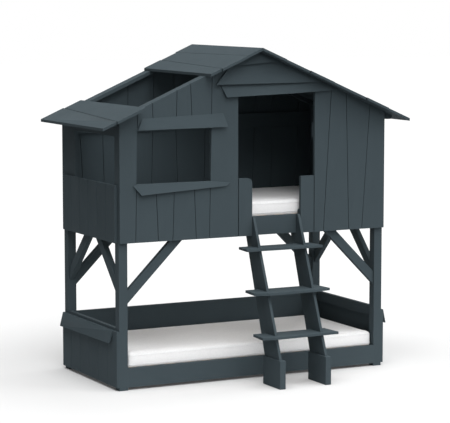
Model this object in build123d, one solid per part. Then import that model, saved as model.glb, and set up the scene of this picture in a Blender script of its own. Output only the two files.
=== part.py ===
from build123d import *
import os
from math import hypot

# A cabin bunk bed. Millimetres, Z up, front towards -Y, length along X.
# The sizes below are taken from the centre of the four posts, at floor level.
# Every piece is then moved along Y, so that the origin is the middle of the bed's footprint.

# Mattresses
mattress_length = 2000
mattress_width = 900
mattress_height = 115
mattress_crown = 6
mattress_draw_in = 7
mattress_corner = 28
mattress_end_play = 8
mattress_side_play = 35
mattress_front_gap = 2.5
mattress_right_shift = 6
soft_clearance = 0.3

# Posts and rails
post_width = 65
leg_height = 175
rail_thickness = 27
length_over_posts = mattress_length + 2 * (mattress_end_play + post_width)
depth_over_posts = mattress_width + mattress_side_play + 2 * rail_thickness
half_length = length_over_posts / 2
half_depth = depth_over_posts / 2
post_inner_x = half_length - post_width
post_inner_y = half_depth - post_width
rail_inner_x = half_length - rail_thickness
rail_inner_y = half_depth - rail_thickness

lower_rail_bottom = 20
lower_rail_height = 137
rear_panel_height = 405
end_rail_height = 76
end_rail_top = 441
deck_height = 1045
upper_rail_height = 170
entry_notch = 35
entry_corner = 14
upper_rail_top = deck_height + upper_rail_height
entry_sill = upper_rail_top - entry_notch

dowel_diameter = 12
dowel_length = 80
dowel_edge = 38
leg_dowel_diameter = 20

# Slats
slat_count = 14
slat_width = 80
slat_thickness = 18
slat_end_play = 1
ledger_thickness = 20
ledger_height = 40
lower_slat_top = 147
upper_slat_rise = 128
upper_slat_top = deck_height + upper_slat_rise

# Corner braces
brace_width = 66
brace_thickness = 38
end_brace_reach = 376

# Side braces in the order front left, front right, rear left, rear right
side_brace_reaches = (437, 422, 420, 434)

# Cabin walls and roof
wall_thickness = 24
wall_lip = 3
plank_gap = 4
wall_half = half_length + wall_lip
wall_face = half_depth + wall_thickness
cabin_height = 1349
eave_reach = 1237
roof_fall = 534
roof_board_thickness = 18
front_overhang = 97
end_jog = 12
roof_gap = 3
ridge_height = deck_height + cabin_height
roof_slope = roof_fall / eave_reach
plumb = hypot(1, roof_slope)
roof_drop = roof_board_thickness * plumb
wall_apex = ridge_height - roof_drop
rafter_depth = 28
rafter_drop = rafter_depth * plumb
ridge_batten_width = 40
ridge_batten_height = 64
eave_rail_width = 56
eave_rail_drop = 52
eave_rail_round = 14

batten_thickness = 20
batten_height = 111
front_batten_rise = 688
rear_batten_rise = 703

# End walls
end_board_thickness = 20
end_board_count = 6
lower_end_bottom = 22
lower_end_height = 400
groove = 3
upper_end_half_width = 473
left_window_sill_rise = 406
left_window_head_rise = 744
corner_board_width = 149.5

# Front window, door and guards
window_sill_rise = 410
window_height = 395
door_centre = 166
door_width = 624
door_boarding_rise = 1045
left_guard_width = 108
left_guard_rise = 417
left_guard_corner = 38
right_guard_width = 108
right_guard_rise = 414
right_guard_corner = 10
door_left = door_centre - door_width / 2
door_right = door_centre + door_width / 2
left_guard_edge = door_left + plank_gap + left_guard_width
right_guard_edge = door_right - plank_gap - right_guard_width
window_bottom = deck_height + window_sill_rise
window_top = window_bottom + window_height

# Trim boards: the head lies against the wall, and the lower edge stands out from it
trim_thickness = 12
trim_head = 1.5
trim_foot = 30
gable_foot = 32
end_trim_foot = 36
gable_lap = 12
cleat_width = 44
header_height = 101
header_drop = 17
header_left_run = 4
header_right_run = 118
sill_height = 77
sill_drop = 0
sill_left_run = 30
sill_right_run = 154
end_trim_height = 106
end_cleat_share = 0.7

# Cleats behind the front trim boards: bottom and top above the deck
header_cleat_rises = (810, 860)
sill_cleat_rises = (364, 392)
door_header_cleat_rises = (1035, 1070)
gable_middle_cleat_rises = (1110, 1139)
gable_top_cleat_rises = (1255, 1275)
cleat_shares = (0.15, 0.5, 0.85)
sill_cleat_shares = (0.12, 0.45, 0.75)
gable_top_cleat_shares = (0.4, 0.7)

# Ladder
stringer_thickness = 19
ladder_left_gap = 2.5
ladder_right_gap = 8.5
stringer_head_depth = 27.5
stringer_under_rail = 80
ladder_reach = 409
stringer_foot_depth = 223
foot_block_height = 203
foot_block_width = 45
foot_block_toe = 32
step_width = 614
step_left_reach = 115
step_splay = 16
step_thickness = 18
step_depth = 190
first_step_height = 366
top_step_drop = 79
bolt_diameter = 8
bolt_head_diameter = 18
bolt_head_height = 5
bolt_length = 52
bolt_sill_drop = 35

# Wall joints: X at the deck and at joint_span above it, as shares of half the wall
joint_span = 890
wall_start_share = (-1, -1)
wall_end_share = (1, 1)
window_joint_shares = (
    (-0.886, -0.869), (-0.723, -0.760), (-0.619, -0.591), (-0.448, -0.480), (-0.351, -0.335),
)
right_joint_shares = ((0.517, 0.566), (0.717, 0.694), (0.821, 0.877))
rear_joint_shares = (
    (-0.837, -0.886), (-0.688, -0.710), (-0.526, -0.513), (-0.340, -0.318), (-0.120, -0.150),
    (0.074, 0.091), (0.284, 0.271), (0.458, 0.490), (0.618, 0.627), (0.802, 0.848),
)

# Roof joints: rear X and front X, from the ridge down, as shares of the eave reach
left_upper_roof_shares = ((0, 0), (0.113, 0.098), (0.216, 0.262), (0.327, 0.333))
left_lower_roof_shares = ((0.749, 0.744), (0.854, 0.916), (1, 1))
right_roof_shares = (
    (0, 0), (0.150, 0.158), (0.330, 0.314), (0.460, 0.475), (0.700, 0.694), (0.830, 0.846), (1, 1),
)

# How far each roof board's rear and front end jogs out, as shares of the end jog
left_upper_jog_shares = ((0.9, 0), (-0.8, 0.8), (0.5, -0.3))
left_lower_jog_shares = ((-0.9, 0.6), (1, -0.4))
right_jog_shares = ((0.3, 0.3), (-0.6, -0.7), (0.8, 0.5), (-0.8, -0.3), (0.4, 0.8), (0, -0.5))

# Outlines of the leaning boards, as shares of their own width and height
header_shares = ((0, 0), (1, 0.04), (0.966, 1), (0.060, 0.78))
sill_shares = ((0.074, 0), (0.960, 0.494), (1, 0.779), (0.796, 1), (0.043, 1), (0, 0.900))

# Outlines of the end boards: Y as shares of half the depth over the posts, Z as shares of their height
left_end_trim_shares = ((-0.841, 0.17), (0.950, 0.07), (0.982, 1), (-0.853, 1))
right_end_trim_shares = ((-0.950, 0), (0.970, 0.10), (0.982, 1), (-0.990, 1))

# Lower edges on the gable, as shares of half the wall and of the cabin height
door_header_shares = ((-0.234, 0.7420), (0.257, 0.7539), (0.425, 0.7598), (0.632, 0.7687))
gable_middle_shares = ((-0.310, 0.8088), (0.505, 0.8119))
gable_top_shares = ((-0.241, 0.9025), (0.168, 0.9276))
door_header_left_share = -0.275
gable_middle_left_share = -0.193

# From the lower edge of each gable board up to the line where it would meet the wall
gable_head_rises = (102, 165, 115)

# Ladder steps from the top one down, as shares of the step depth: how far the nose stands out
# before the stringers at these places along the width, and how far the rear edge lies behind that
step_places = (0, 0.17, 0.77, 1)
step_nose_shares = ((0.23, 0.23, 0.28, 0.28), (0.14, 0.38, 0.31, 0.18), (0.15, 0.27, 0.19, 0.19))
step_rear_shares = (0.62, 0.74, 0.76)

# Places on the ladder
ladder_fall = entry_sill - foot_block_height
stringer_top_y = -half_depth - stringer_head_depth
stringer_foot_y = stringer_top_y - ladder_reach
stringer_starts = (
    left_guard_edge + ladder_left_gap,
    right_guard_edge - ladder_right_gap - stringer_thickness,
)
step_pitch = (deck_height - top_step_drop - first_step_height) / (len(step_nose_shares) - 1)
step_tops = [first_step_height + index * step_pitch for index in range(len(step_nose_shares))]
step_left = stringer_starts[0] - step_left_reach

# The footprint, from the ladder's foot to the longest roof board
foot_front = stringer_foot_y - foot_block_toe
rear_reach = wall_face + end_jog
footprint_shift = -(foot_front + rear_reach) / 2


def prism(points, sweep):
    """The flat outline through the points, swept along one vector."""
    return Solid.extrude(Face(Wire.make_polygon(points)), Vector(*sweep))


def block(x, y, z):
    """A box between two values on each axis."""
    size = (abs(x[1] - x[0]), abs(y[1] - y[0]), abs(z[1] - z[0]))
    middle = ((x[0] + x[1]) / 2, (y[0] + y[1]) / 2, (z[0] + z[1]) / 2)
    return Pos(*middle) * Box(*size)


def rod(start, end, diameter):
    """A round rod between two points."""
    axis = Vector(*end) - Vector(*start)
    return Solid.make_cylinder(diameter / 2, axis.length, Plane(origin=start, z_dir=axis))


def front_board(outline, back_y, thickness):
    """An upright board: its outline in X and Z, standing out towards the front from back_y."""
    return prism([(x, back_y, z) for x, z in outline], (0, -thickness, 0))


def save(name, pieces):
    """Write one node, moved so that the footprint's middle is the origin."""
    placed = [Pos(0, footprint_shift, 0) * piece for piece in pieces]
    shape = placed[0] if len(placed) == 1 else Compound(placed)
    export_step(shape, f"parts/{name}.step")


def roof_line(x):
    """Height of the roof boards' underside at a distance from the ridge."""
    return wall_apex - roof_slope * abs(x)


def under_roof(near_y, far_y, half_width):
    """The space below the roof between two depths, for cutting tops to the slope."""
    outline = [
        (-half_width, 0), (half_width, 0), (half_width, roof_line(half_width)),
        (0, wall_apex), (-half_width, roof_line(half_width)),
    ]
    return prism([(x, near_y, z) for x, z in outline], (0, far_y - near_y, 0))


# Dowels, which are cut out of both pieces that they join
def rail_dowels():
    """Dowels along X from the side rails into the posts and leg blocks."""
    dowels = []
    half = dowel_length / 2
    upper = (deck_height + dowel_edge, upper_rail_top - dowel_edge)
    front_low = (lower_rail_bottom + dowel_edge, lower_rail_bottom + lower_rail_height - dowel_edge)
    rear_low = (lower_rail_bottom + dowel_edge, lower_rail_bottom + rear_panel_height - dowel_edge)
    rail_middle = half_depth - rail_thickness / 2
    for side in (-1, 1):
        for y, heights in ((-rail_middle, upper + front_low), (rail_middle, upper + rear_low)):
            for z in heights:
                start = (side * (post_inner_x - half), y, z)
                end = (side * (post_inner_x + half), y, z)
                dowels.append(rod(start, end, dowel_diameter))
    return dowels


def end_dowels():
    """Dowels along Y from the end rails into the posts and leg blocks."""
    dowels = []
    half = dowel_length / 2
    heights = (
        deck_height + dowel_edge, upper_rail_top - dowel_edge,
        end_rail_top - end_rail_height / 2, lower_end_bottom + end_rail_height / 2,
    )
    x = half_length - rail_thickness / 2
    for side in (-1, 1):
        for face in (-post_inner_y, post_inner_y):
            for z in heights:
                dowels.append(rod((side * x, face - half, z), (side * x, face + half, z), dowel_diameter))
    return dowels


def leg_dowels():
    """One upright dowel between each leg block and its post."""
    half = dowel_length / 2
    x = half_length - post_width / 2
    y = half_depth - post_width / 2
    return [
        rod((a * x, b * y, leg_height - half), (a * x, b * y, leg_height + half), leg_dowel_diameter)
        for a in (-1, 1) for b in (-1, 1)
    ]


def drilled(piece, dowels):
    """The piece with a hole for each dowel that reaches it."""
    box = piece.bounding_box()
    for dowel in dowels:
        spot = dowel.bounding_box()
        apart = (
            spot.min.X > box.max.X or spot.max.X < box.min.X or spot.min.Y > box.max.Y
            or spot.max.Y < box.min.Y or spot.min.Z > box.max.Z or spot.max.Z < box.min.Z
        )
        if not apart:
            piece = piece - dowel
    return piece


# The frame
def post(side, face):
    """A post above its leg block, cut to the slope under the rafter."""
    inner, outer = side * post_inner_x, side * half_length
    outline = [
        (inner, leg_height), (outer, leg_height),
        (outer, roof_line(outer) - rafter_drop), (inner, roof_line(inner) - rafter_drop),
    ]
    back = -post_inner_y if face < 0 else half_depth
    return front_board(outline, back, post_width)


def leg_block(side, face):
    """The short block that carries a post."""
    across = (side * post_inner_x, side * half_length)
    along = (face * post_inner_y, face * half_depth)
    return block(across, along, (0, leg_height))


def upper_front_rail():
    """The rail under the door, with a round-cornered dip where the ladder arrives."""
    outline = [
        (-post_inner_x, deck_height), (post_inner_x, deck_height), (post_inner_x, upper_rail_top),
        (right_guard_edge, upper_rail_top), (right_guard_edge, entry_sill),
        (left_guard_edge, entry_sill), (left_guard_edge, upper_rail_top), (-post_inner_x, upper_rail_top),
    ]
    rail = front_board(outline, -rail_inner_y, rail_thickness)
    dip_half = (right_guard_edge - left_guard_edge) / 2 + entry_corner
    corners = [
        edge for edge in rail.edges().filter_by(Axis.Y)
        if edge.center().Z > entry_sill + entry_corner and abs(edge.center().X - door_centre) < dip_half
    ]
    return rail.fillet(entry_corner, corners)


def ledgers(slat_top):
    """The two strips inside the side rails that the slats lie on."""
    top = slat_top - slat_thickness
    length = (-mattress_length / 2, mattress_length / 2)
    inner = rail_inner_y - ledger_thickness
    return [
        block(length, (face * inner, face * rail_inner_y), (top - ledger_height, top))
        for face in (-1, 1)
    ]


def slats(slat_top):
    """Loose slats, evenly spread under the mattress."""
    reach = rail_inner_y - slat_end_play
    pitch = (mattress_length - slat_width) / (slat_count - 1)
    heights = (slat_top - slat_thickness, slat_top)
    starts = [-mattress_length / 2 + index * pitch for index in range(slat_count)]
    return [block((x, x + slat_width), (-reach, reach), heights) for x in starts]


def side_brace(side, face, reach):
    """A brace at 45 degrees from a post up to the side rail."""
    foot = deck_height - reach
    rise = brace_width * hypot(1, 1)
    outline = [
        (side * post_inner_x, foot), (side * post_inner_x, foot + rise),
        (side * (post_inner_x - reach + rise), deck_height),
        (side * (post_inner_x - reach), deck_height),
    ]
    middle = face * (half_depth - post_width / 2)
    return front_board(outline, middle + brace_thickness / 2, brace_thickness)


def end_brace(side, face):
    """A brace at 45 degrees from a post up to the end rail."""
    foot = deck_height - end_brace_reach
    rise = brace_width * hypot(1, 1)
    start = side * (half_length - post_width / 2) - brace_thickness / 2
    outline = [
        (post_inner_y, foot), (post_inner_y, foot + rise),
        (post_inner_y - end_brace_reach + rise, deck_height),
        (post_inner_y - end_brace_reach, deck_height),
    ]
    return prism([(start, face * y, z) for y, z in outline], (brace_thickness, 0, 0))


def end_rails(bottom, height):
    """Rails across both ends, between the posts."""
    across = (-post_inner_y, post_inner_y)
    return [
        block((side * rail_inner_x, side * half_length), across, (bottom, bottom + height))
        for side in (-1, 1)
    ]


def mattress(slat_top):
    """A mattress with a crowned top and drawn-in sides, lofted along its length, pushed to the right."""
    low = slat_top + soft_clearance
    middle_x = mattress_right_shift
    middle_y = -rail_inner_y + mattress_front_gap + mattress_width / 2
    side_height = mattress_height - mattress_crown
    half = mattress_length / 2
    stations = (
        (middle_x - half, mattress_draw_in), (middle_x - half + mattress_corner, 0), (middle_x, 0),
        (middle_x + half - mattress_corner, 0), (middle_x + half, mattress_draw_in),
    )
    wires = []
    for x, inset in stations:
        wide = mattress_width / 2 - inset
        narrow = wide - mattress_draw_in
        top = low + side_height - inset
        crown = top + mattress_crown
        left, right = middle_y - narrow, middle_y + narrow
        level = (low + top) / 2
        wires.append(Wire([
            Edge.make_line((x, left, low), (x, right, low)),
            Edge.make_three_point_arc((x, right, low), (x, middle_y + wide, level), (x, right, top)),
            Edge.make_three_point_arc((x, right, top), (x, middle_y, crown), (x, left, top)),
            Edge.make_three_point_arc((x, left, top), (x, middle_y - wide, level), (x, left, low)),
        ]))
    return Solid.make_loft(wires, ruled=True)


# The cabin walls
def joint_x(joint, height):
    """X of a slanting wall joint at a height."""
    low, high = joint
    return wall_half * (low + (high - low) * (height - deck_height) / joint_span)


def planks(joints, bottom, top, back_y):
    """Planks side by side between slanting joints, cut to the roof."""
    half_gap = plank_gap / 2
    clip = under_roof(back_y, back_y - wall_thickness, wall_half)
    row = []
    for left, right in zip(joints, joints[1:]):
        outline = [
            (joint_x(left, bottom) + half_gap, bottom), (joint_x(right, bottom) - half_gap, bottom),
            (joint_x(right, top) - half_gap, top), (joint_x(left, top) + half_gap, top),
        ]
        row.append((front_board(outline, back_y, wall_thickness) & clip).solids()[0])
    return row


def guard(x_span, rise, corner, corner_x):
    """A short guard board beside the ladder, with one round top corner."""
    board = block(x_span, (-wall_face, -half_depth), (deck_height, deck_height + rise))
    edges = [
        edge for edge in board.edges().filter_by(Axis.Y)
        if edge.center().Z > deck_height + rise / 2 and abs(edge.center().X - corner_x) < corner
    ]
    return board.fillet(corner, edges)


def batten(x_span, face, rise):
    """A level strip inside a long wall, tying its planks together."""
    bottom = deck_height + rise
    inner = half_depth - batten_thickness
    return block(x_span, (face * inner, face * half_depth), (bottom, bottom + batten_height))


def lean_out(drop, full_drop, foot):
    """How far the front of a trim board stands off its wall, at a drop below the head."""
    return trim_head + (foot - trim_head) * drop / full_drop


def leaning_board(outline, head, foot):
    """A trim board on the front wall: its head meets the wall, and its lowest point stands out."""
    (left_x, left_z), (right_x, right_z) = head
    fall = (right_z - left_z) / (right_x - left_x)
    drops = [left_z + fall * (x - left_x) - z for x, z in outline]
    front = [
        (x, -wall_face - lean_out(drop, max(drops), foot), z)
        for (x, z), drop in zip(outline, drops)
    ]
    board = prism(front, (0, trim_thickness, 0))
    box = board.bounding_box()
    space = block((box.min.X, box.max.X), (box.min.Y, -wall_face), (box.min.Z, box.max.Z))
    return (board & space).solids()[0]


def cleats(board, rises, x_shares=cleat_shares):
    """Wedges between the front wall and the back of a leaning board, at shares of its width."""
    box = board.bounding_box()
    bottom, top = deck_height + rises[0], deck_height + rises[1]
    wedges = []
    for share in x_shares:
        left = box.min.X + (box.max.X - box.min.X) * share - cleat_width / 2
        space = block((left, left + cleat_width), (box.min.Y, -wall_face), (bottom, top))
        pieces = (space - board).solids()
        wedges.append(max(pieces, key=lambda piece: piece.center().Y))
    return wedges


def header_box():
    """Left, bottom and width of the board over the window."""
    left = joint_x(window_joint_shares[0], window_top) - header_left_run
    right = joint_x(window_joint_shares[-1], window_top) + header_right_run
    return left, window_top - header_drop, right - left


def sill_box():
    """Left, bottom and width of the board under the window."""
    left = joint_x(window_joint_shares[0], window_bottom) - sill_left_run
    right = joint_x(window_joint_shares[-1], window_bottom) + sill_right_run
    return left, window_bottom - sill_drop - sill_height, right - left


def trim_outline(box, height, shares):
    """A trim board's outline in X and Z from its box and its shares."""
    left, bottom, width = box
    return [(left + width * across, bottom + height * up) for across, up in shares]


def on_gable(across, up):
    """A point on the gable from its shares of half the wall and of the cabin height."""
    return wall_half * across, deck_height + cabin_height * up


def gable_board(outline, lower_edge, head_rise):
    """A leaning gable board, cut to the roof."""
    head = [(x, z + head_rise) for x, z in (lower_edge[0], lower_edge[-1])]
    board = leaning_board(outline, head, gable_foot)
    clip = under_roof(-wall_face, -wall_face - gable_foot, wall_half)
    return (board & clip).solids()[0]


def covered_head(next_edge, right_x, left_x):
    """The two top corners of a gable board, one lap above the lower edge of the next board."""
    (start_x, start_z), (end_x, end_z) = next_edge
    fall = (end_z - start_z) / (end_x - start_x)
    return [(x, start_z + fall * (x - start_x) + gable_lap) for x in (right_x, left_x)]


def gable_boards():
    """Door header, middle board and top board: each one laps over the head of the one below."""
    header_edge = [on_gable(across, up) for across, up in door_header_shares]
    middle_edge = [on_gable(across, up) for across, up in gable_middle_shares]
    top_edge = [on_gable(across, up) for across, up in gable_top_shares]
    header_left = wall_half * door_header_left_share
    middle_left = wall_half * gable_middle_left_share
    header_head = covered_head(middle_edge, header_edge[-1][0], header_left)
    middle_head = covered_head(top_edge, middle_edge[-1][0], middle_left)
    top_head = [(top_edge[-1][0], ridge_height), (top_edge[0][0], ridge_height)]
    edges = (header_edge, middle_edge, top_edge)
    heads = (header_head, middle_head, top_head)
    return [
        gable_board(edge + head, edge, rise)
        for edge, head, rise in zip(edges, heads, gable_head_rises)
    ]


# The end walls
def end_boards(side, half_width, bottom, top):
    """Upright boards outside the posts of one end, with a V groove at each seam."""
    pitch = 2 * half_width / end_board_count
    inner, outer = side * half_length, side * (half_length + end_board_thickness)
    shoulder = outer - side * groove
    boards = []
    for index in range(end_board_count):
        near = -half_width + index * pitch
        far = near + pitch
        outline = [
            (inner, near), (inner, far), (shoulder, far),
            (outer, far - groove), (outer, near + groove), (shoulder, near),
        ]
        boards.append(prism([(x, y, bottom) for x, y in outline], (0, 0, top - bottom)))
    return boards


def end_trim(side, shares):
    """The leaning board along the top of a lower end wall."""
    face = half_length + end_board_thickness
    top = lower_end_bottom + lower_end_height
    bottom = top - end_trim_height
    front = []
    for across, up in shares:
        stand_off = face + lean_out(1 - up, 1, end_trim_foot)
        front.append((side * stand_off, half_depth * across, bottom + end_trim_height * up))
    board = prism(front, (-side * trim_thickness, 0, 0))
    space = block((side * face, side * (face + end_trim_foot)), (-half_depth, half_depth), (bottom, top))
    return (board & space).solids()[0]


def end_cleats(side):
    """Three wedges behind a leaning end board."""
    face = half_length + end_board_thickness
    top = lower_end_bottom + lower_end_height
    bottom = top - end_trim_height * end_cleat_share
    hollow_top = top - end_trim_height * (trim_thickness - trim_head) / (end_trim_foot - trim_head)
    stand_off = lean_out(end_cleat_share, 1, end_trim_foot) - trim_thickness
    wedges = []
    for middle in (-half_depth / 2, 0, half_depth / 2):
        outline = [(face, bottom), (face + stand_off, bottom), (face, hollow_top)]
        wedges.append(prism([(side * x, middle, z) for x, z in outline], (0, cleat_width, 0)))
    return wedges


def top_rail(side):
    """The rail across an end between the posts, under the eave boards."""
    inner = side * (half_length - end_board_thickness)
    outer = side * half_length
    bottom = deck_height + left_window_head_rise
    outline = [(inner, bottom), (outer, bottom), (outer, roof_line(outer)), (inner, roof_line(inner))]
    return prism([(x, -post_inner_y, z) for x, z in outline], (0, 2 * post_inner_y, 0))


def right_end_boards():
    """The closed right end: full-height boards, cut to the roof."""
    clip = under_roof(-half_depth, half_depth, half_length + end_board_thickness)
    boards = end_boards(1, upper_end_half_width, deck_height, roof_line(half_length))
    return [(board & clip).solids()[0] for board in boards]


# The roof
def rafter(side, face):
    """A flat rafter on top of the posts, from the ridge to the outside of the post."""
    foot = side * half_length
    outline = [
        (0, wall_apex - rafter_drop), (foot, roof_line(foot) - rafter_drop),
        (foot, roof_line(foot)), (0, wall_apex),
    ]
    back = -post_inner_y if face < 0 else half_depth
    return front_board(outline, back, post_width)


def ridge_batten():
    """The batten below the ridge, from rafter to rafter."""
    half = ridge_batten_width / 2
    low = wall_apex - ridge_batten_height
    outline = [(-half, low), (half, low), (half, roof_line(half)), (0, wall_apex), (-half, roof_line(half))]
    return front_board(outline, post_inner_y, 2 * post_inner_y)


def eave_rail(side, inner):
    """A round-edged batten outside an end wall, under the eave boards."""
    outer = inner + eave_rail_width
    low = roof_line(inner) - eave_rail_drop
    outline = [
        (side * inner, low), (side * outer, low),
        (side * outer, roof_line(outer)), (side * inner, roof_line(inner)),
    ]
    rail = front_board(outline, half_depth, depth_over_posts)
    underside = rail.faces().sort_by(Axis.Z)[0]
    return rail.fillet(eave_rail_round, underside.edges().filter_by(Axis.Y))


def roof_boards(side, shares, jogs):
    """Boards of one slope: each runs from the rear wall to past the front wall."""
    half_gap = roof_gap / 2
    boards = []
    for upper, lower, jog in zip(shares, shares[1:], jogs):
        rear = wall_face + end_jog * jog[0]
        front = -wall_face - front_overhang - end_jog * jog[1]
        eave_gap = 0 if lower[0] == 1 else half_gap
        ridge_gap = 0 if upper[0] == 0 else half_gap
        plan = [
            (eave_reach * upper[0] + ridge_gap, rear), (eave_reach * lower[0] - eave_gap, rear),
            (eave_reach * lower[1] - eave_gap, front), (eave_reach * upper[1] + ridge_gap, front),
        ]
        top = [(side * x, y, ridge_height - roof_slope * x) for x, y in plan]
        boards.append(prism(top, (0, 0, -roof_drop)))
    return boards


# The ladder
def stringer_front(height):
    """Y of the stringers' front edge at a height."""
    return stringer_top_y - ladder_reach * (entry_sill - height) / ladder_fall


def step_rear(index):
    """Y of a step's rear edge."""
    order = len(step_tops) - 1 - index
    return stringer_front(step_tops[index]) + step_depth * step_rear_shares[order]


def step_lap(index):
    """Y where the slot in a stringer meets the notch in a step."""
    return (stringer_front(step_tops[index]) + step_rear(index)) / 2


def step(index):
    """A step with a waney front edge, notched from the rear for both stringers."""
    top = step_tops[index]
    face, rear = stringer_front(top), step_rear(index)
    noses = step_nose_shares[len(step_tops) - 1 - index]
    plan = [
        (step_left + step_width * place, face - step_depth * nose)
        for place, nose in zip(step_places, noses)
    ]
    plan += [(step_left + step_width - step_splay, rear), (step_left + step_splay, rear)]
    board = prism([(x, y, top) for x, y in plan], (0, 0, -step_thickness))
    for start in stringer_starts:
        notch = (step_lap(index), rear)
        board = board - block((start, start + stringer_thickness), notch, (top - step_thickness, top))
    return board


def stringer(start):
    """A ladder side that hooks under the rail, slotted from the front for the steps."""
    under_rail = -half_depth + stringer_under_rail
    outline = [
        (stringer_top_y, entry_sill), (-half_depth, entry_sill), (-half_depth, deck_height),
        (under_rail, deck_height), (stringer_foot_y + stringer_foot_depth, foot_block_height),
        (stringer_foot_y, foot_block_height),
    ]
    side = prism([(start, y, z) for y, z in outline], (stringer_thickness, 0, 0))
    for index, top in enumerate(step_tops):
        slot = (foot_front, step_lap(index))
        side = side - block((start, start + stringer_thickness), slot, (top - step_thickness, top))
    return side


def foot_block(start):
    """The block that a stringer stands on."""
    middle = start + stringer_thickness / 2
    span = (middle - foot_block_width / 2, middle + foot_block_width / 2)
    return block(span, (foot_front, stringer_foot_y + stringer_foot_depth), (0, foot_block_height))


def ladder_bolt(start):
    """A sunk-head bolt through the rail into the top of a stringer."""
    x = start + stringer_thickness / 2
    z = entry_sill - bolt_sill_drop
    head_end = -rail_inner_y - bolt_head_height
    shank = rod((x, -rail_inner_y - bolt_length, z), (x, head_end, z), bolt_diameter)
    return shank + rod((x, head_end, z), (x, -rail_inner_y, z), bolt_head_diameter)


os.makedirs("parts", exist_ok=True)

# Posts, leg blocks and their dowels
post_dowels = rail_dowels() + end_dowels() + leg_dowels()
corner_names = {(-1, -1): "front_left", (1, -1): "front_right", (-1, 1): "rear_left", (1, 1): "rear_right"}
for (side, face), corner in corner_names.items():
    save(f"{corner}_post", [drilled(post(side, face), post_dowels)])
save("leg_blocks", [drilled(leg_block(side, face), post_dowels) for side, face in corner_names])
save("rail_dowels", rail_dowels() + end_dowels())
save("leg_dowels", leg_dowels())

# Lower bunk
side_length = (-post_inner_x, post_inner_x)
rear_span = (rail_inner_y, half_depth)
lower_rail_top = lower_rail_bottom + lower_rail_height
rear_panel_top = lower_rail_bottom + rear_panel_height
lower_end_top = lower_end_bottom + lower_end_height
lower_front_rail = block(side_length, (-half_depth, -rail_inner_y), (lower_rail_bottom, lower_rail_top))
lower_rear_panel = block(side_length, rear_span, (lower_rail_bottom, rear_panel_top))
low_end_rails = end_rails(lower_end_bottom, end_rail_height)
high_end_rails = end_rails(end_rail_top - end_rail_height, end_rail_height)
save("lower_front_rail", [drilled(lower_front_rail, post_dowels)])
save("lower_rear_panel", [drilled(lower_rear_panel, post_dowels)])
save("lower_end_rails", [drilled(rail, post_dowels) for rail in low_end_rails + high_end_rails])
save("lower_ledgers", ledgers(lower_slat_top))
save("lower_slats", slats(lower_slat_top))
save("lower_mattress", [mattress(lower_slat_top)])
save("left_lower_end_boards", end_boards(-1, half_depth, lower_end_bottom, lower_end_top))
save("right_lower_end_boards", end_boards(1, half_depth, lower_end_bottom, lower_end_top))
save("left_end_trim_board", [end_trim(-1, left_end_trim_shares)])
save("right_end_trim_board", [end_trim(1, right_end_trim_shares)])
save("side_braces", [
    side_brace(side, face, reach) for (side, face), reach in zip(corner_names, side_brace_reaches)
])
save("end_braces", [end_brace(side, face) for side, face in corner_names])

# Upper bunk
ladder_bolts = [ladder_bolt(start) for start in stringer_starts]
upper_rear_rail = block(side_length, rear_span, (deck_height, upper_rail_top))
upper_end_rails = end_rails(deck_height, upper_rail_height)
save("upper_front_rail", [drilled(upper_front_rail(), post_dowels + ladder_bolts)])
save("upper_rear_rail", [drilled(upper_rear_rail, post_dowels)])
save("upper_end_rails", [drilled(rail, post_dowels) for rail in upper_end_rails])
save("upper_ledgers", ledgers(upper_slat_top))
save("upper_slats", slats(upper_slat_top))
save("upper_mattress", [mattress(upper_slat_top)])

# Front wall
left_door_joint = (door_left / wall_half, door_left / wall_half)
right_door_joint = (door_right / wall_half, door_right / wall_half)
door_middle_joint = (door_centre / wall_half, door_centre / wall_half)
left_joints = (wall_start_share, window_joint_shares[0])
middle_joints = (window_joint_shares[-1], left_door_joint)
door_joints = (left_door_joint, door_middle_joint, right_door_joint)
right_joints = (right_door_joint,) + right_joint_shares + (wall_end_share,)
door_boarding_bottom = deck_height + door_boarding_rise
save("front_left_plank", planks(left_joints, deck_height, ridge_height, -half_depth))
save("front_middle_plank", planks(middle_joints, deck_height, ridge_height, -half_depth))
save("under_window_planks", planks(window_joint_shares, deck_height, window_bottom, -half_depth))
save("over_window_planks", planks(window_joint_shares, window_top, ridge_height, -half_depth))
save("over_door_planks", planks(door_joints, door_boarding_bottom, ridge_height, -half_depth))
save("front_right_planks", planks(right_joints, deck_height, ridge_height, -half_depth))
batten_top = deck_height + front_batten_rise + batten_height
middle_plank_left = joint_x(window_joint_shares[-1], batten_top) + plank_gap / 2
save("wall_battens", [
    batten((middle_plank_left, door_left), -1, front_batten_rise),
    batten((door_right, post_inner_x), -1, front_batten_rise),
    batten(side_length, 1, rear_batten_rise),
])
left_span = (door_left + plank_gap, left_guard_edge)
right_span = (right_guard_edge, door_right - plank_gap)
save("left_door_guard", [guard(left_span, left_guard_rise, left_guard_corner, left_guard_edge)])
save("right_door_guard", [guard(right_span, right_guard_rise, right_guard_corner, right_guard_edge)])

# Trim boards of the front wall
header_outline = trim_outline(header_box(), header_height, header_shares)
sill_outline = trim_outline(sill_box(), sill_height, sill_shares)
window_header = leaning_board(header_outline, (header_outline[3], header_outline[2]), trim_foot)
window_sill = leaning_board(sill_outline, (sill_outline[4], sill_outline[3]), trim_foot)
door_header, gable_middle, gable_top = gable_boards()
save("window_header_board", [window_header])
save("window_sill_board", [window_sill])
save("door_header_board", [door_header])
save("gable_middle_board", [gable_middle])
save("gable_top_board", [gable_top])
trim_cleats = end_cleats(-1) + end_cleats(1)
trim_cleats += cleats(window_header, header_cleat_rises)
trim_cleats += cleats(window_sill, sill_cleat_rises, sill_cleat_shares)
trim_cleats += cleats(door_header, door_header_cleat_rises)
trim_cleats += cleats(gable_middle, gable_middle_cleat_rises)
trim_cleats += cleats(gable_top, gable_top_cleat_rises, gable_top_cleat_shares)
save("trim_cleats", trim_cleats)

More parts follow.
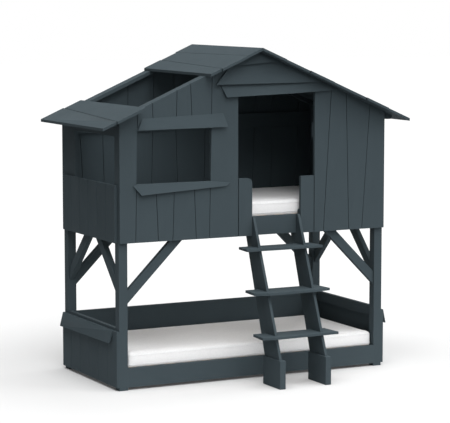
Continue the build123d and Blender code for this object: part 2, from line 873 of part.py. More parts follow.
# Rear wall and end walls
rear_joints = (wall_start_share,) + rear_joint_shares + (wall_end_share,)
save("rear_wall_planks", planks(rear_joints, deck_height, ridge_height, wall_face))
left_window_sill = deck_height + left_window_sill_rise
save("left_upper_end_boards", end_boards(-1, upper_end_half_width, deck_height, left_window_sill))
save("left_corner_board", [block(
    (-half_length, end_board_thickness - half_length), (post_inner_y - corner_board_width, post_inner_y),
    (upper_rail_top, deck_height + left_window_head_rise),
)])
save("right_upper_end_boards", right_end_boards())
save("end_top_rails", [top_rail(-1), top_rail(1)])

# Roof
save("front_rafters", [rafter(-1, -1), rafter(1, -1)])
save("rear_rafters", [rafter(-1, 1), rafter(1, 1)])
save("ridge_batten", [ridge_batten()])
save("eave_rails", [eave_rail(-1, half_length), eave_rail(1, half_length + end_board_thickness)])
save("left_upper_roof_boards", roof_boards(-1, left_upper_roof_shares, left_upper_jog_shares))
save("left_lower_roof_boards", roof_boards(-1, left_lower_roof_shares, left_lower_jog_shares))
save("right_roof_boards", roof_boards(1, right_roof_shares, right_jog_shares))

# Ladder
for index, start in enumerate(stringer_starts):
    name = ("left", "right")[index]
    save(f"{name}_stringer", [drilled(stringer(start), ladder_bolts)])
for index, name in enumerate(("lower", "middle", "upper")):
    save(f"{name}_ladder_step", [step(index)])
save("foot_blocks", [foot_block(start) for start in stringer_starts])
save("ladder_bolts", ladder_bolts)
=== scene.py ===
import math

import bmesh
import bpy
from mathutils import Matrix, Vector


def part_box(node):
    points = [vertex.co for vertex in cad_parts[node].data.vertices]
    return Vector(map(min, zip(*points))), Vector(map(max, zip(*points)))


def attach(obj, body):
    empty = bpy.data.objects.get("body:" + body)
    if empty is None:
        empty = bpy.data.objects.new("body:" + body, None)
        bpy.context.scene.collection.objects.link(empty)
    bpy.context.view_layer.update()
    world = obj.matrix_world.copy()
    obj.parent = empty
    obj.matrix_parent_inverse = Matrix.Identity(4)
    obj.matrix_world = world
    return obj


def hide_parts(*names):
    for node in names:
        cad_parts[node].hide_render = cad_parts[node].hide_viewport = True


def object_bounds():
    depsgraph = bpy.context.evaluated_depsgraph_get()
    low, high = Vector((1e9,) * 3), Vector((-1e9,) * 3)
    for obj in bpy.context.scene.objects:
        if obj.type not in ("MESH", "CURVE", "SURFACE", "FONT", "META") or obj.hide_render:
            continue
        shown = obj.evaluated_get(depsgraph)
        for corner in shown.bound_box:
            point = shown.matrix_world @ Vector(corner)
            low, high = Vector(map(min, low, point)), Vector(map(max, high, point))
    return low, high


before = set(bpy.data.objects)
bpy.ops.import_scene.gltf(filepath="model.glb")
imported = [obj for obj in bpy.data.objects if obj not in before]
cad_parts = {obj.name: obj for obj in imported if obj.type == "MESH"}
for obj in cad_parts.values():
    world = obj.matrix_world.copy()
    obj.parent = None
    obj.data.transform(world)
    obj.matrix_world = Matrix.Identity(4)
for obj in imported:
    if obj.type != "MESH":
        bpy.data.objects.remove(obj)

cad_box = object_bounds()


# The room: a pale studio floor under a white surround.
# The floor keeps the bed's soft shadow, and to the camera it is white wherever no shadow lies.
scene = bpy.context.scene
scene.view_settings.view_transform = "Standard"


def link(tree, source, target):
    """Joins one shader socket to another."""
    tree.links.new(source, target)


def math_node(tree, operation, first, second=None, third=None):
    """A Math node whose inputs are sockets or plain numbers; gives its output."""
    made = tree.nodes.new("ShaderNodeMath")
    made.operation = operation
    for slot_index, value in enumerate((first, second, third)):
        if value is None:
            continue
        if isinstance(value, (int, float)):
            made.inputs[slot_index].default_value = value
        else:
            link(tree, value, made.inputs[slot_index])
    return made.outputs[0]


def range_node(tree, value, start, end, first=0.0, last=1.0, bend="SMOOTHSTEP"):
    """A Map Range node, which goes from a first to a last value between two limits; gives its output."""
    made = tree.nodes.new("ShaderNodeMapRange")
    made.interpolation_type = bend
    made.inputs["From Min"].default_value = start
    made.inputs["From Max"].default_value = end
    made.inputs["To Min"].default_value = first
    made.inputs["To Max"].default_value = last
    link(tree, value, made.inputs["Value"])
    return made.outputs[0]


def shown_background(tree):
    """A mask that is 1 for rays from the camera and for what gloss or glass shows."""
    path = tree.nodes.new("ShaderNodeLightPath")
    seen = math_node(tree, "MAXIMUM", path.outputs["Is Camera Ray"], path.outputs["Is Glossy Ray"])
    return math_node(tree, "MAXIMUM", seen, path.outputs["Is Transmission Ray"])


def plain_light(tree, colour, strength):
    """A Background shader of one colour and strength; gives its output."""
    made = tree.nodes.new("ShaderNodeBackground")
    made.inputs["Color"].default_value = colour
    made.inputs["Strength"].default_value = strength
    return made.outputs[0]


def new_finish(name):
    """A material made of nodes; gives the material, its tree and its shader."""
    finish = bpy.data.materials.new(name)
    finish.use_nodes = True
    return finish, finish.node_tree, finish.node_tree.nodes["Principled BSDF"]


plain_white = (1.0, 1.0, 1.0, 1.0)
sky_white = (0.95, 0.98, 1.0, 1.0)
surround_strength = 0.128
world = bpy.data.worlds.new("studio_surround")
world.use_nodes = True
scene.world = world
surround = world.node_tree
for node in list(surround.nodes):
    surround.nodes.remove(node)
surround_out = surround.nodes.new("ShaderNodeOutputWorld")
surround_mix = surround.nodes.new("ShaderNodeMixShader")
link(surround, shown_background(surround), surround_mix.inputs[0])
link(surround, plain_light(surround, sky_white, surround_strength), surround_mix.inputs[1])
link(surround, plain_light(surround, plain_white, 1.0), surround_mix.inputs[2])
link(surround, surround_mix.outputs[0], surround_out.inputs[0])

floor_half_width = 60.0
floor_drop = 0.001
floor_corners = [
    (x * floor_half_width, y * floor_half_width, -floor_drop)
    for x, y in ((-1, -1), (1, -1), (1, 1), (-1, 1))
]
floor_mesh = bpy.data.meshes.new("studio_floor")
floor_mesh.from_pydata(floor_corners, [], [(0, 1, 2, 3)])
floor = bpy.data.objects.new("studio_floor", floor_mesh)
scene.collection.objects.link(floor)

# Near the bed the floor's paint is paler, which throws lamp light back up, and its glow is weaker,
# which lets the shadow show. Close to the bed's feet and low boards an occlusion mask dims the glow,
# which paints a contact shadow there.
near_reach = 1.6
far_reach = 4.5
near_pale = 0.58
far_pale = 0.06
near_glow = 0.21
far_glow = 1.0
painted_shadow_reach = 0.24
painted_shadow_samples = 8
floor_paint, floor_tree, floor_shader = new_finish("studio_floor")
floor_shader.inputs["Roughness"].default_value = 1.0
floor_shader.inputs["Specular IOR Level"].default_value = 0.0
floor_shader.inputs["Emission Color"].default_value = plain_white
floor_place = floor_tree.nodes.new("ShaderNodeTexCoord")
from_bed = floor_tree.nodes.new("ShaderNodeVectorMath")
from_bed.operation = "LENGTH"
link(floor_tree, floor_place.outputs["Object"], from_bed.inputs[0])
distance = from_bed.outputs["Value"]
pale = range_node(floor_tree, distance, near_reach, far_reach, near_pale, far_pale)
link(floor_tree, pale, floor_shader.inputs["Base Color"])
# An occlusion mask dims the floor's glow wherever the bed is close: a painted contact shadow.
painted_contact_shadow = floor_tree.nodes.new("ShaderNodeAmbientOcclusion")
painted_contact_shadow.samples = painted_shadow_samples
painted_contact_shadow.inputs["Distance"].default_value = painted_shadow_reach
fade = range_node(floor_tree, distance, near_reach, far_reach, near_glow, far_glow)
glow_with_painted_shadow = math_node(floor_tree, "MULTIPLY", fade, painted_contact_shadow.outputs["AO"])
shown_glow = math_node(floor_tree, "MULTIPLY", shown_background(floor_tree), glow_with_painted_shadow)
link(floor_tree, shown_glow, floor_shader.inputs["Emission Strength"])
floor.data.materials.append(floor_paint)


# The studio lamps: wide soft boxes in a ring round the bed, most of them high or in front of it.
# The strongest stands low at the right end. All are large, so the shadows have no hard edge.
lamp_reach = 40.0
lamp_size = 20.0
bed_middle = Vector((0.0, 0.0, 1.2))


def soft_lamp(name, round_angle, up_angle, watts):
    """A square lamp aimed at the bed; its round angle is 0 in front and 90 at the right end."""
    around = math.radians(round_angle)
    above = math.radians(up_angle)
    level = math.cos(above)
    aim = Vector((math.sin(around) * level, -math.cos(around) * level, math.sin(above)))
    lamp_data = bpy.data.lights.new(name, "AREA")
    lamp_data.size = lamp_size
    lamp_data.energy = watts
    lamp = bpy.data.objects.new(name, lamp_data)
    lamp.location = bed_middle + lamp_reach * aim
    lamp.rotation_euler = aim.to_track_quat("Z", "Y").to_euler()
    scene.collection.objects.link(lamp)


soft_lamp("high_front_lamp", round_angle=0, up_angle=65, watts=5600)
soft_lamp("high_left_lamp", round_angle=-75, up_angle=70, watts=6400)
soft_lamp("front_left_lamp", round_angle=-50, up_angle=38, watts=240)
soft_lamp("front_lamp", round_angle=-15, up_angle=38, watts=6000)
soft_lamp("front_right_lamp", round_angle=55, up_angle=38, watts=4920)
soft_lamp("high_rear_lamp", round_angle=135, up_angle=65, watts=3000)
soft_lamp("right_lamp", round_angle=90, up_angle=12, watts=9000)
soft_lamp("low_front_lamp", round_angle=15, up_angle=10, watts=3000)
soft_lamp("low_left_lamp", round_angle=-27, up_angle=8, watts=700)


# The camera stands where the photograph was taken: left of the middle and a little above the roof.
# Its lens gives the photograph's long, nearly parallel look.
camera_place = (-6.5545, -12.6092, 2.7758)
camera_aim = Vector((0.0116, 0.21625, 1.1664))
lens_length = 156.058
film_width = 36.0
sight_limit = 200.0
camera_data = bpy.data.cameras.new("camera")
camera_data.lens = lens_length
camera_data.sensor_width = film_width
camera_data.clip_end = sight_limit
camera = bpy.data.objects.new("camera", camera_data)
camera.location = camera_place
camera.rotation_euler = (camera_aim - camera.location).to_track_quat("-Z", "Y").to_euler()
scene.collection.objects.link(camera)
scene.camera = camera


# The posts and their leg blocks: planed softwood, 65 mm square, sprayed with matt slate blue-grey paint.
# The year rings still show faintly through the paint. Each edge is sanded round, and the paint is
# thinner there.
def shader_group(name, inputs, outputs):
    """An empty node group with its sockets: name, kind and, for an input, its value."""
    group = bpy.data.node_groups.new(name, "ShaderNodeTree")
    for socket_name, kind, value in inputs:
        socket = group.interface.new_socket(socket_name, in_out="INPUT", socket_type=kind)
        if value is not None:
            socket.default_value = value
    for socket_name, kind in outputs:
        group.interface.new_socket(socket_name, in_out="OUTPUT", socket_type=kind)
    return group, group.nodes.new("NodeGroupInput"), group.nodes.new("NodeGroupOutput")


def placed_group(tree, group):
    """A node group placed in a material's tree."""
    made = tree.nodes.new("ShaderNodeGroup")
    made.node_tree = group
    return made


def vector_node(tree, operation, first, second):
    """A Vector Math node whose second input is a socket or three numbers; gives its output."""
    made = tree.nodes.new("ShaderNodeVectorMath")
    made.operation = operation
    link(tree, first, made.inputs[0])
    if isinstance(second, tuple):
        made.inputs[1].default_value = second
    else:
        link(tree, second, made.inputs[1])
    return made.outputs[0]


def noise_node(tree, place, scale, detail=3.0, roughness=0.5):
    """A Noise texture's value at a place."""
    made = tree.nodes.new("ShaderNodeTexNoise")
    made.inputs["Scale"].default_value = scale
    made.inputs["Detail"].default_value = detail
    made.inputs["Roughness"].default_value = roughness
    link(tree, place, made.inputs["Vector"])
    return made.outputs["Fac"]


def weighted_sum(tree, start, *terms):
    """Adds to a start, a socket or a number, each term's socket times its share; gives the total."""
    total = start
    for socket, share in terms:
        total = math_node(tree, "MULTIPLY_ADD", socket, share, total)
    return total


def mix_colours(tree, share, first, second):
    """A blend of two colours, each a socket or a tuple; gives its output."""
    made = tree.nodes.new("ShaderNodeMix")
    made.data_type = "RGBA"
    link(tree, share, made.inputs[0])
    for socket, value in ((made.inputs[6], first), (made.inputs[7], second)):
        if isinstance(value, tuple):
            socket.default_value = value
        else:
            link(tree, value, socket)
    return made.outputs[2]


def emboss(tree, shader, relief, strength, depth):
    """Raises a shader's surface by a relief."""
    bump = tree.nodes.new("ShaderNodeBump")
    bump.inputs["Strength"].default_value = strength
    bump.inputs["Distance"].default_value = depth
    link(tree, relief, bump.inputs["Height"])
    link(tree, bump.outputs[0], shader.inputs["Normal"])


# Sawn grain runs along the group's own Z, and each board has its own piece of the tree.
board_steps = (3.7, 5.3, 9.1)
ring_stretch = (1.0, 1.0, 0.07)
rings_across = (38.0, 38.0, 38.0)
ring_sway = 34.0
ring_slant = 0.8
ring_pace = 0.5
ring_darkening = 2.2
fibre_stretch = (1.0, 1.0, 0.035)
grain, grain_in, grain_out = shader_group(
    "sawn_grain",
    [("Place", "NodeSocketVector", None), ("Board", "NodeSocketFloat", 0.0)],
    [("Rings", "NodeSocketFloat"), ("Fibre", "NodeSocketFloat"), ("Cloud", "NodeSocketFloat")],
)
board_shift = grain.nodes.new("ShaderNodeCombineXYZ")
for axis, board_step in enumerate(board_steps):
    shift = math_node(grain, "MULTIPLY", grain_in.outputs["Board"], board_step)
    link(grain, shift, board_shift.inputs[axis])
own_place = vector_node(grain, "ADD", grain_in.outputs["Place"], board_shift.outputs[0])
long_place = vector_node(grain, "MULTIPLY", own_place, ring_stretch)
sway = noise_node(grain, long_place, scale=5.0, detail=2.0)
ring_split = grain.nodes.new("ShaderNodeSeparateXYZ")
link(grain, vector_node(grain, "MULTIPLY", long_place, rings_across), ring_split.inputs[0])
ring_x, ring_y = ring_split.outputs[0], ring_split.outputs[1]
ring_phase = weighted_sum(grain, ring_x, (sway, ring_sway), (ring_y, ring_slant))
ring_wave = math_node(grain, "FRACT", math_node(grain, "MULTIPLY", ring_phase, ring_pace))
rings = math_node(grain, "POWER", ring_wave, ring_darkening)
link(grain, rings, grain_out.inputs["Rings"])
fibre_place = vector_node(grain, "MULTIPLY", own_place, fibre_stretch)
fibre = noise_node(grain, fibre_place, scale=420.0, detail=2.0, roughness=0.6)
link(grain, fibre, grain_out.inputs["Fibre"])
cloud = noise_node(grain, own_place, scale=4.0, detail=3.0, roughness=0.55)
link(grain, cloud, grain_out.inputs["Cloud"])

# Edge rub compares a face with itself as if its edges were rounder, and rises to the scuff on an edge.
rub_radius = 0.004
rub_samples = 4
rub_start = 0.02
rub_full = 0.28
rub, rub_in, rub_out = shader_group(
    "edge_rub", [("Scuff", "NodeSocketFloat", 0.5)], [("Edge", "NodeSocketFloat")]
)
rounder = rub.nodes.new("ShaderNodeBevel")
rounder.samples = rub_samples
rounder.inputs["Radius"].default_value = rub_radius
own_normal = rub.nodes.new("ShaderNodeNewGeometry")
likeness = rub.nodes.new("ShaderNodeVectorMath")
likeness.operation = "DOT_PRODUCT"
link(rub, rounder.outputs[0], likeness.inputs[0])
link(rub, own_normal.outputs["Normal"], likeness.inputs[1])
turned = math_node(rub, "SUBTRACT", 1.0, likeness.outputs["Value"])
rub_band = range_node(rub, turned, rub_start, rub_full, bend="LINEAR")
scuffed = math_node(rub, "MULTIPLY", rub_band, rub_in.outputs["Scuff"])
link(rub, scuffed, rub_out.inputs["Edge"])


def grain_place(tree, turn, mirrored=False):
    """Object coordinates turned so that a board's length is Z, mirrored where boards lean both ways."""
    place = tree.nodes.new("ShaderNodeTexCoord").outputs["Object"]
    if mirrored:
        split = tree.nodes.new("ShaderNodeSeparateXYZ")
        joined = tree.nodes.new("ShaderNodeCombineXYZ")
        link(tree, place, split.inputs[0])
        middle_y = (cad_box[0].y + cad_box[1].y) / 2
        across = math_node(tree, "ABSOLUTE", split.outputs[0])
        along = math_node(tree, "ABSOLUTE", math_node(tree, "SUBTRACT", split.outputs[1], middle_y))
        link(tree, across, joined.inputs[0])
        link(tree, along, joined.inputs[1])
        link(tree, split.outputs[2], joined.inputs[2])
        place = joined.outputs[0]
    turner = tree.nodes.new("ShaderNodeMapping")
    turner.inputs["Rotation"].default_value = [math.radians(angle) for angle in turn]
    link(tree, place, turner.inputs["Vector"])
    return turner.outputs[0]


def sawn_wood(tree, turn, mirrored=False):
    """Places the grain in a material; gives its outputs and the number that tells the boards apart."""
    board = tree.nodes.new("ShaderNodeNewGeometry").outputs["Random Per Island"]
    wood = placed_group(tree, grain)
    link(tree, grain_place(tree, turn, mirrored), wood.inputs["Place"])
    link(tree, board, wood.inputs["Board"])
    return wood.outputs, board


# The paint's colour, with the thinner paint of the edges and the deeper tone of the clouds.
slate = (0.0516, 0.0692, 0.0786, 1.0)
slate_thin = (0.085, 0.108, 0.119, 1.0)
slate_deep = (0.0430, 0.0580, 0.0664, 1.0)
start_tone = -0.10
ring_tone = 0.10
cloud_tone = 0.55
board_tone = 0.06
paint_scuff = 0.55
paint_roughness = 0.62
cloud_roughness = 0.14
fibre_roughness = 0.08
paint_gloss = 0.06
fibre_relief = 0.35
paint_relief = 0.22
paint_depth = 0.0004


def paint_job(name, turn, mirrored=False):
    """Matt slate paint over grain that runs one way."""
    paint, tree, shader = new_finish(name)
    wood, board = sawn_wood(tree, turn, mirrored)
    worn = placed_group(tree, rub)
    link(tree, math_node(tree, "MULTIPLY", wood["Cloud"], paint_scuff), worn.inputs["Scuff"])
    tone = weighted_sum(
        tree, start_tone, (wood["Rings"], ring_tone), (wood["Cloud"], cloud_tone), (board, board_tone)
    )
    coat = mix_colours(tree, tone, slate, slate_deep)
    coat = mix_colours(tree, worn.outputs["Edge"], coat, slate_thin)
    link(tree, coat, shader.inputs["Base Color"])
    dull = weighted_sum(
        tree, paint_roughness, (wood["Cloud"], cloud_roughness), (wood["Fibre"], fibre_roughness)
    )
    link(tree, dull, shader.inputs["Roughness"])
    shader.inputs["Specular IOR Level"].default_value = paint_gloss
    relief = weighted_sum(tree, wood["Rings"], (wood["Fibre"], fibre_relief))
    emboss(tree, shader, relief, paint_relief, paint_depth)
    return paint


weld_reach = 0.00002
round_segments = 2
sharp_angle = 25


def dress(node_name, finish, round_width):
    """Gives a CAD node its finish, and eases its edges by a small round."""
    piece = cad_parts[node_name]
    piece.data.materials.clear()
    piece.data.materials.append(finish)
    weld = piece.modifiers.new("weld", "WELD")
    weld.merge_threshold = weld_reach
    ease = piece.modifiers.new("eased_edges", "BEVEL")
    ease.width = round_width
    ease.segments = round_segments
    ease.limit_method = "ANGLE"
    ease.angle_limit = math.radians(sharp_angle)
    ease.harden_normals = False


post_edge = 0.0028
upright = paint_job("slate_paint_upright", turn=(0, 0, 0))
for corner in ("front_left", "front_right", "rear_left", "rear_right"):
    dress(corner + "_post", upright, post_edge)
dress("leg_blocks", upright, post_edge)


# The rails of both bunks, and the battens of walls, eaves and ridge: long boards painted as the posts are.
# Round dowels, which are bare beech and stay inside the joints, hold the rails and the leg blocks.
rail_edge = 0.0015
lengthwise = paint_job("slate_paint_lengthwise", turn=(0, 90, 0))
depthwise = paint_job("slate_paint_depthwise", turn=(90, 0, 0))
for rail in ("lower_front_rail", "lower_rear_panel", "upper_front_rail", "upper_rear_rail", "wall_battens"):
    dress(rail, lengthwise, rail_edge)
for rail in ("lower_end_rails", "upper_end_rails", "end_top_rails", "ridge_batten", "eave_rails"):
    dress(rail, depthwise, rail_edge)

bare_fibre_tone = 0.25
bare_board_tone = 0.2
bare_cloud_tone = 0.2
bare_roughness = 0.5
bare_fibre_roughness = 0.2
bare_relief = 0.3
bare_depth = 0.0005


def bare_wood(name, turn, pale_wood, dark_wood, bare_ring_tone):
    """Planed wood with no paint: pale between the year rings and darker on them."""
    timber, tree, shader = new_finish(name)
    wood, board = sawn_wood(tree, turn)
    tone = weighted_sum(
        tree, 0.0, (wood["Rings"], bare_ring_tone), (wood["Fibre"], bare_fibre_tone),
        (board, bare_board_tone), (wood["Cloud"], bare_cloud_tone),
    )
    link(tree, mix_colours(tree, tone, pale_wood, dark_wood), shader.inputs["Base Color"])
    dull = weighted_sum(tree, bare_roughness, (wood["Fibre"], bare_fibre_roughness))
    link(tree, dull, shader.inputs["Roughness"])
    emboss(tree, shader, wood["Fibre"], bare_relief, bare_depth)
    return timber


dowel_edge = 0.0006
beech_pale = (0.62, 0.42, 0.24, 1)
beech_dark = (0.40, 0.24, 0.12, 1)
beech_rings = 0.3
beech = bare_wood("bare_beech", (0, 90, 0), beech_pale, beech_dark, beech_rings)
for dowels in ("rail_dowels", "leg_dowels"):
    dress(dowels, beech, dowel_edge)


# The boards of the low bunk's ends: six upright boards a side with a V groove at each seam.
# A trim board leans out along the top of each end, held off the boards by hidden wedge cleats.
board_edge = 0.001
trim_edge = 0.0012
for side in ("left", "right"):
    dress(side + "_lower_end_boards", upright, board_edge)
    dress(side + "_end_trim_board", depthwise, trim_edge)
dress("trim_cleats", upright, board_edge)


# The corner braces under the deck: short timbers at 45 degrees from the posts up to the rails.
# They are painted like the posts, with the grain along each brace.
side_lean = paint_job("slate_paint_side_brace", turn=(0, 45, 0), mirrored=True)
end_lean = paint_job("slate_paint_end_brace", turn=(-45, 0, 0), mirrored=True)
dress("side_braces", side_lean, post_edge)
dress("end_braces", end_lean, post_edge)


# The slats of both bunks: bare planed pine, laid from side to side, where the mattresses cover them.
# They lie on ledgers, which are fixed to the rails and painted with them.
slat_edge = 0.002
pine_pale = (0.72, 0.53, 0.32, 1)
pine_dark = (0.50, 0.30, 0.14, 1)
pine_rings = 0.55
slat_pine = bare_wood("bare_pine_slats", (90, 0, 0), pine_pale, pine_dark, pine_rings)
for bunk in ("lower", "upper"):
    dress(bunk + "_slats", slat_pine, slat_edge)
    dress(bunk + "_ledgers", lengthwise, rail_edge)


# The two mattresses: foam in a white woven cotton cover, with a corded seam near its upper and its
# lower edge. The cover is cut to the foam and sewn shut, so it swells a little between the seams.
# Cloth that faces up is painted darker than the sides, a painted shade on the lit top and crest.
cotton, cotton_tree, cotton_shader = new_finish("white_cotton_cover")
cotton_coordinates = cotton_tree.nodes.new("ShaderNodeTexCoord")
cotton_place = cotton_coordinates.outputs["Object"]

threads_per_metre = 700.0
thread_middle = 0.5
thread_swing = 0.25
weave, weave_in, weave_out = shader_group(
    "plain_weave", [("Place", "NodeSocketVector", None)], [("Threads", "NodeSocketFloat")]
)
thread_place = vector_node(weave, "MULTIPLY", weave_in.outputs["Place"], (threads_per_metre,) * 3)
weave_split = weave.nodes.new("ShaderNodeSeparateXYZ")
link(weave, thread_place, weave_split.inputs[0])
waves = []
for axis in range(3):
    half_turns = math_node(weave, "MULTIPLY", weave_split.outputs[axis], math.pi)
    waves.append(math_node(weave, "SINE", half_turns))
crossing = math_node(weave, "MULTIPLY", waves[0], waves[1])
crossing = math_node(weave, "MULTIPLY_ADD", waves[2], waves[0], crossing)
crossing = math_node(weave, "MULTIPLY_ADD", waves[2], waves[1], crossing)
link(weave, weighted_sum(weave, thread_middle, (crossing, thread_swing)), weave_out.inputs["Threads"])

crease_stretch = (1.0, 2.2, 1.0)
slub_stretch = (0.2, 1.0, 1.0)
crease_tone = 0.25
mottle_tone = 0.75
side_white = (0.88, 0.88, 0.88, 1)
side_grey = (0.76, 0.76, 0.765, 1)
top_painted_shade_white = (0.83, 0.83, 0.83, 1)
top_painted_shade_grey = (0.63, 0.63, 0.635, 1)
top_shade_start = 0.0
top_shade_full = 0.45
cloth = placed_group(cotton_tree, weave)
link(cotton_tree, cotton_place, cloth.inputs["Place"])
crease_place = vector_node(cotton_tree, "MULTIPLY", cotton_place, crease_stretch)
creases = noise_node(cotton_tree, crease_place, scale=9.0, detail=4.0, roughness=0.6)
slub_place = vector_node(cotton_tree, "MULTIPLY", cotton_place, slub_stretch)
slubs = noise_node(cotton_tree, slub_place, scale=260.0, detail=2.0)
mottle = noise_node(cotton_tree, cotton_place, scale=120.0, detail=1.0)
cotton_tone = weighted_sum(cotton_tree, 0.0, (creases, crease_tone), (mottle, mottle_tone))
side_cloth = mix_colours(cotton_tree, cotton_tone, side_white, side_grey)
painted_shade_top_cloth = mix_colours(cotton_tree, cotton_tone, top_painted_shade_white, top_painted_shade_grey)
# Where the cloth faces up it takes the darker top colours: painted shade on the lit top and crest.
facing = cotton_tree.nodes.new("ShaderNodeSeparateXYZ")
link(cotton_tree, cotton_coordinates.outputs["Normal"], facing.inputs[0])
painted_top_shade = range_node(cotton_tree, facing.outputs["Z"], top_shade_start, top_shade_full)
fabric = mix_colours(cotton_tree, painted_top_shade, side_cloth, painted_shade_top_cloth)
link(cotton_tree, fabric, cotton_shader.inputs["Base Color"])

cotton_roughness = 0.82
slub_roughness = 0.12
slub_relief = 0.08
thread_relief = 0.05
crease_relief = 1.6
cotton_relief = 0.35
cotton_depth = 0.004
cotton_dull = weighted_sum(cotton_tree, cotton_roughness, (slubs, slub_roughness))
link(cotton_tree, cotton_dull, cotton_shader.inputs["Roughness"])
cotton_shader.inputs["Specular IOR Level"].default_value = 0.2
cotton_shader.inputs["Sheen Weight"].default_value = 0.15
cotton_shader.inputs["Sheen Roughness"].default_value = 0.5
threads = cloth.outputs["Threads"]
folds = weighted_sum(
    cotton_tree, 0.0, (slubs, slub_relief), (threads, thread_relief), (creases, crease_relief)
)
emboss(cotton_tree, cotton_shader, folds, cotton_relief, cotton_depth)

cover_inset = 0.003
cover_cap = 0.003
cover_voxel = 0.012
cloth_frames = 20
corner_round = 0.022
corner_steps = 6
crest_round = 0.020
base_round = 0.008
base_inset = 0.001
edge_steps = 4
seam_drop = 0.026
piping_radius = 0.0016


def corner_path(low, high, inset, height):
    """Points round a rectangle with round corners, at one height."""
    # The corner's radius shrinks by the inset. An inset past the whole radius leaves half of it.
    reach = corner_round - inset if corner_round > inset else corner_round / 2
    points = []
    for sign_x, sign_y, start in ((1, 1, 0), (-1, 1, 90), (-1, -1, 180), (1, -1, 270)):
        centre_x = (high.x if sign_x > 0 else low.x) - sign_x * (inset + reach)
        centre_y = (high.y if sign_y > 0 else low.y) - sign_y * (inset + reach)
        for step_index in range(corner_steps + 1):
            angle = math.radians(start + 90 * step_index / corner_steps)
            points.append((centre_x + reach * math.cos(angle), centre_y + reach * math.sin(angle), height))
    return points


def quarter_round(radius):
    """The quarter round of a panel edge, as pairs of inset and rise."""
    profile = []
    for step_index in range(edge_steps + 1):
        angle = math.radians(90 * step_index / edge_steps)
        profile.append((radius * (1 - math.sin(angle)), radius * (1 - math.cos(angle))))
    return profile


def cover_shape(name, low, high):
    """A closed slab with round corners and rounded panel edges, slightly smaller than its foam."""
    height = high.z - low.z - cover_inset - base_inset
    rings = quarter_round(base_round)
    for inset, up in reversed(quarter_round(crest_round)):
        rings.append((inset, height - up))
    shape = bmesh.new()
    loops = []
    for inset, up in rings:
        path = corner_path(low, high, cover_inset + inset, low.z + base_inset + up)
        loops.append([shape.verts.new(point) for point in path])
    count = len(loops[0])
    for lower, upper in zip(loops, loops[1:]):
        for index in range(count):
            after = (index + 1) % count
            shape.faces.new((lower[index], lower[after], upper[after], upper[index]))
    shape.faces.new(list(reversed(loops[0])))
    shape.faces.new(loops[-1])
    mesh = bpy.data.meshes.new(name)
    shape.to_mesh(mesh)
    shape.free()
    cover = bpy.data.objects.new(name, mesh)
    scene.collection.objects.link(cover)
    return cover


def apply_modifiers(piece):
    """Replaces a piece's mesh by what its modifiers make of it."""
    graph = bpy.context.evaluated_depsgraph_get()
    made = bpy.data.meshes.new_from_object(piece.evaluated_get(graph))
    piece.modifiers.clear()
    piece.data = made


def swell(cover, low, high, seam_heights):
    """Blows the cover up under cloth, held along its seams, and caps how far it may move."""
    remesh = cover.modifiers.new("remesh", "REMESH")
    remesh.mode = "VOXEL"
    remesh.voxel_size = cover_voxel
    apply_modifiers(cover)
    start = [vertex.co.copy() for vertex in cover.data.vertices]
    held = cover.vertex_groups.new(name="held")
    for vertex in cover.data.vertices:
        x, y, z = vertex.co
        from_seam = min(abs(z - height) for height in seam_heights)
        from_side = min(x - low.x, high.x - x, y - low.y, high.y - y)
        if from_seam < cover_voxel and from_side < 2 * corner_round:
            held.add([vertex.index], 1.0, "REPLACE")
    cloth_pass = cover.modifiers.new("cloth", "CLOTH")
    settings = cloth_pass.settings
    settings.quality = 4
    settings.mass = 0.3
    settings.tension_stiffness = 12
    settings.compression_stiffness = 12
    settings.shear_stiffness = 6
    settings.bending_stiffness = 0.6
    settings.use_pressure = True
    settings.uniform_pressure_force = 4.0
    settings.vertex_group_mass = "held"
    settings.effector_weights.gravity = 0.0
    cloth_pass.collision_settings.use_self_collision = False
    for frame_number in range(1, cloth_frames + 1):
        scene.frame_set(frame_number)
    apply_modifiers(cover)
    for vertex, before in zip(cover.data.vertices, start):
        moved = vertex.co - before
        if moved.length > cover_cap:
            vertex.co = before + moved * (cover_cap / moved.length)
        vertex.co.z = max(vertex.co.z, low.z)
    scene.frame_set(1)


def piping(name, low, high, height):
    """A thin corded seam round the mattress at one height."""
    path = corner_path(low, high, cover_inset, height)
    line = bpy.data.curves.new(name, "CURVE")
    line.dimensions = "3D"
    line.bevel_depth = piping_radius
    line.bevel_resolution = 3
    run = line.splines.new("POLY")
    run.points.add(len(path) - 1)
    for point, place in zip(run.points, path):
        point.co = (*place, 1.0)
    run.use_cyclic_u = True
    bare_line = bpy.data.objects.new(name, line)
    scene.collection.objects.link(bare_line)
    graph = bpy.context.evaluated_depsgraph_get()
    mesh = bpy.data.meshes.new_from_object(bare_line.evaluated_get(graph))
    bpy.data.objects.remove(bare_line)
    cord = bpy.data.objects.new(name, mesh)
    scene.collection.objects.link(cord)
    return cord


def clothe(piece):
    """Gives a soft piece its cotton and a smooth surface."""
    piece.data.materials.clear()
    piece.data.materials.append(cotton)
    for polygon in piece.data.polygons:
        polygon.use_smooth = True


for bunk in ("lower", "upper"):
    low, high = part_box(bunk + "_mattress")
    seams = (low.z + seam_drop, high.z - seam_drop)
    cover = cover_shape(bunk + "_mattress_cover", low, high)
    swell(cover, low, high, seams)
    smooth_levels = 1
    smooth = cover.modifiers.new("smooth", "SUBSURF")
    smooth.levels = smooth_levels
    smooth.render_levels = smooth_levels
    clothe(cover)
    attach(cover, bunk + "_bedding")
    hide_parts(bunk + "_mattress")
    for height, place in zip(seams, ("bottom", "top")):
        cord = piping(f"{bunk}_mattress_{place}_piping", low, high, height)
        clothe(cord)
        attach(cord, bunk + "_bedding")


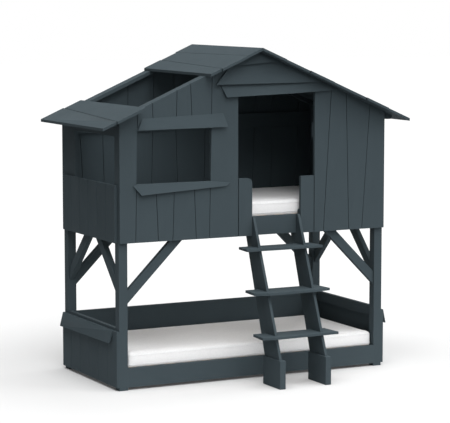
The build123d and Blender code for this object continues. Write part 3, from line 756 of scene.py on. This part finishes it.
# The cabin walls: broad boards whose joints slant a little one way or the other, so that no two are
# alike. Each joint is an open 4 mm shadow gap, and the boards stand upright between deck and roof.
for wall in (
    "front_left_plank", "under_window_planks", "over_window_planks", "front_middle_plank",
    "over_door_planks", "front_right_planks", "rear_wall_planks", "left_upper_end_boards",
    "left_corner_board", "right_upper_end_boards", "left_door_guard", "right_door_guard",
):
    dress(wall, upright, board_edge)


# The trim on the front: tapering boards over hidden wedge cleats, so that their lower edges stand off
# the wall. They are painted like the rails, with the grain along them.
for trim in (
    "window_header_board", "window_sill_board", "door_header_board", "gable_middle_board",
    "gable_top_board",
):
    dress(trim, lengthwise, trim_edge)


# The roof: rafters flat on the posts, and boards from back to front with jogged ends and tapering seams.
# The left slope has a wide gap between its upper and its lower boards.
rafter_lean = paint_job("slate_paint_rafter", turn=(0, 66.7, 0), mirrored=True)
for rafters in ("front_rafters", "rear_rafters"):
    dress(rafters, rafter_lean, post_edge)
for boards in ("left_upper_roof_boards", "left_lower_roof_boards", "right_roof_boards"):
    dress(boards, depthwise, board_edge)


# The ladder: two leaning sides on upright foot blocks, and steps with waney front edges, slotted into them.
# Two sunk bolts of zinc-plated steel hold it to the rail under the door.
stringer_lean = paint_job("slate_paint_stringer", turn=(-23, 0, 0))
for part in ("left_stringer", "right_stringer"):
    dress(part, stringer_lean, rail_edge)
for step in ("lower_ladder_step", "middle_ladder_step", "upper_ladder_step"):
    dress(step, lengthwise, trim_edge)
dress("foot_blocks", upright, post_edge)

zinc_grey = (0.55, 0.55, 0.56, 1)
zinc_roughness = 0.25
spot_roughness = 0.25
zinc, zinc_tree, zinc_shader = new_finish("zinc_plate")
zinc_shader.inputs["Base Color"].default_value = zinc_grey
zinc_shader.inputs["Metallic"].default_value = 1.0
zinc_place = zinc_tree.nodes.new("ShaderNodeTexCoord").outputs["Object"]
zinc_spots = noise_node(zinc_tree, zinc_place, scale=400.0)
zinc_dull = weighted_sum(zinc_tree, zinc_roughness, (zinc_spots, spot_roughness))
link(zinc_tree, zinc_dull, zinc_shader.inputs["Roughness"])
dress("ladder_bolts", zinc, dowel_edge)
